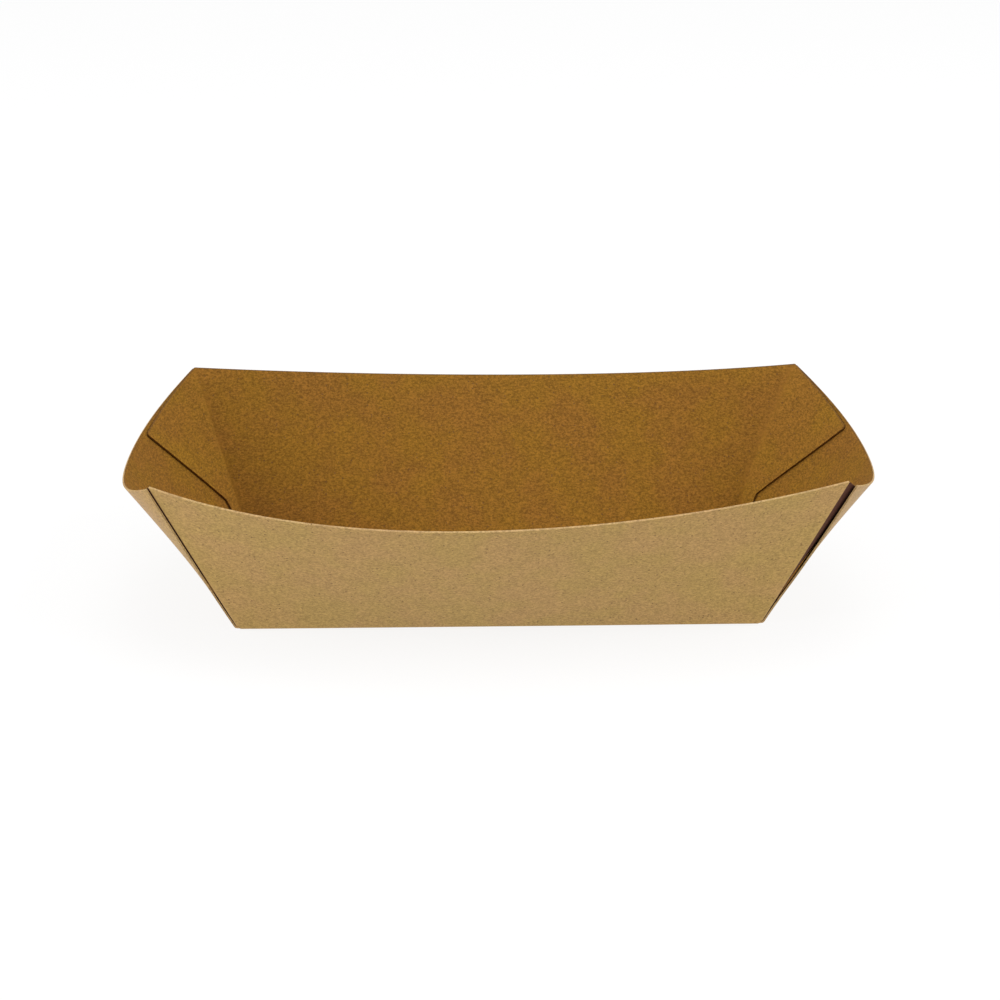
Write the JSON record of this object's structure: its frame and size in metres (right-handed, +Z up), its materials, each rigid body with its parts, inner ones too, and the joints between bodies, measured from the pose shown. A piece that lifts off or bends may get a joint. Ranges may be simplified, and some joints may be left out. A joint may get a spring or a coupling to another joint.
{
  "type": "paper food tray",
  "caption": "Open-topped takeaway food tray folded from one kraft board sheet, with bowed sloping walls, a dipped rim and flaps glued inside its corners.",
  "frame": {"origin": "under the middle of the tray's overall box, in the plane it rests on", "axes": "+X along the tray, +Y across it to the back, +Z up out of its mouth"},
  "size_m": [0.1862, 0.1074, 0.0463],
  "materials": {
    "kraft_board": "matte kraft board, raw outside and slightly darker and smoother inside"
  },
  "bodies": {
    "root": {"folded_sheet": "kraft_board"}
  },
  "joints": []
}
